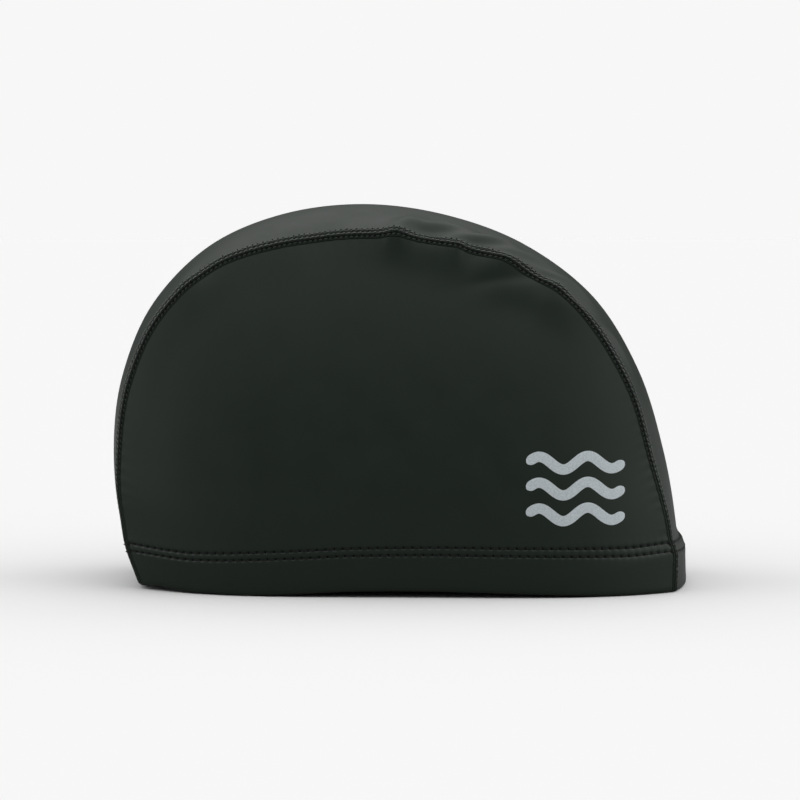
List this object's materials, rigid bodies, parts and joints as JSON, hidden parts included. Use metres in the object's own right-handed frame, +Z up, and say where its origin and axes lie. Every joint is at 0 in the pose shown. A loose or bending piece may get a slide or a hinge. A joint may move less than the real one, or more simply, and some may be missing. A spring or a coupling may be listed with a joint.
{
  "type": "swim cap",
  "caption": "Coated stretch-fabric swim cap of panels joined by flatlock seams, standing on its hemmed rim with the inside open below.",
  "frame": {"origin": "bottom centre of the bounding box, in the plane of the rim that the cap stands on", "axes": "+X towards the forehead, +Y towards the wearer's left, +Z up to the crown"},
  "size_m": [0.2201, 0.1186, 0.1448],
  "materials": {
    "coated_fabric": "near-black grey-green stretch knit with a satin polyurethane coat",
    "thread": "matte near-black sewing thread"
  },
  "bodies": {
    "root": {"centre_panel": "coated_fabric", "side_panel_right": "coated_fabric", "side_panel_left": "coated_fabric", "flatlock_seam_right": "thread", "flatlock_seam_left": "thread"}
  },
  "joints": []
}
